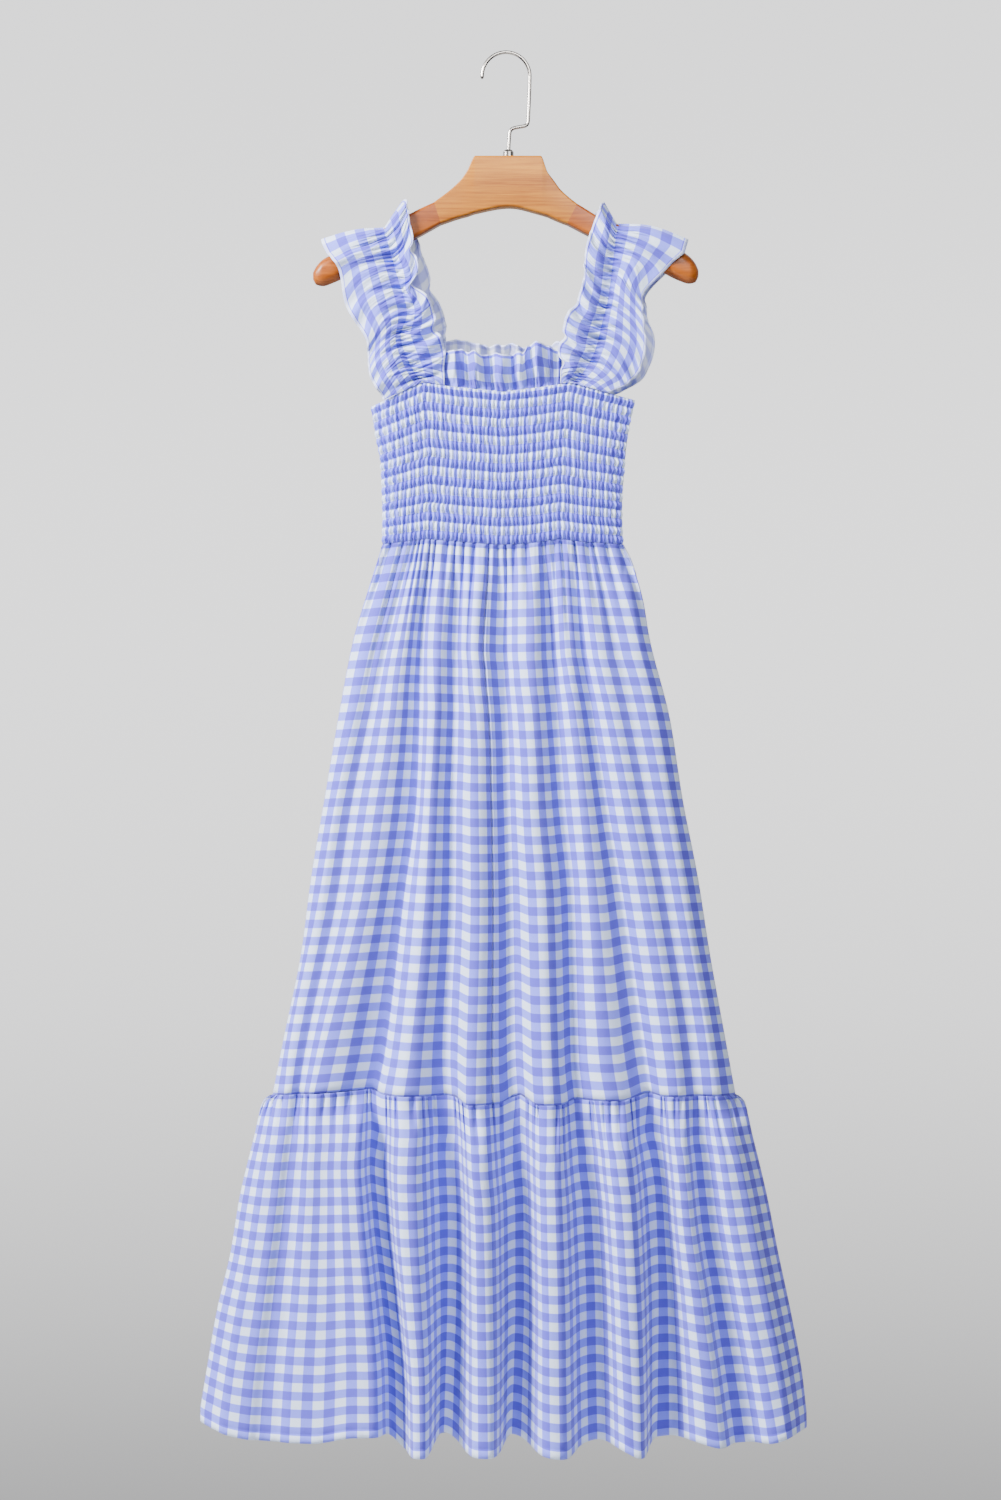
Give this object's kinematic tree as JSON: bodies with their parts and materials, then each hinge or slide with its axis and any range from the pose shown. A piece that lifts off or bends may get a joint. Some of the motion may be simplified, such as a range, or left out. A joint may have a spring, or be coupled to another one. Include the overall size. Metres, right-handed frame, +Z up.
{
  "type": "sundress on a clothes hanger",
  "caption": "Sleeveless maxi sundress in blue and white gingham, with a smocked bodice, ruffled straps and a gathered hem flounce, flat on a wooden clothes hanger with a wire hook.",
  "frame": {"origin": "inside of the hook's crown, where a rail bears on it", "axes": "+Z up, +X to the right of the dress as seen from its front, +Y towards its back; the front faces -Y"},
  "size_m": [0.63, 0.0896, 1.4522],
  "materials": {
    "gingham_cotton": "matte woven cotton, small gingham check in cornflower blue and white",
    "pale_wood": "satin varnish, fine straight grain",
    "warm_wood": "satin varnish, warmer end pieces",
    "nickel": "bright nickel-plated wire"
  },
  "bodies": {
    "root": {"bodice_front": "gingham_cotton", "bodice_back": "gingham_cotton", "neck_ruffle_front": "gingham_cotton", "neck_ruffle_back": "gingham_cotton", "strap_left": "gingham_cotton", "strap_right": "gingham_cotton", "skirt_front_left": "gingham_cotton", "skirt_front_right": "gingham_cotton", "skirt_back": "gingham_cotton", "flounce_front": "gingham_cotton", "flounce_back": "gingham_cotton", "hanger_body": "pale_wood", "hanger_arm_left": "warm_wood", "hanger_arm_right": "warm_wood", "hook": "nickel", "hook_ferrule": "nickel"}
  },
  "joints": []
}
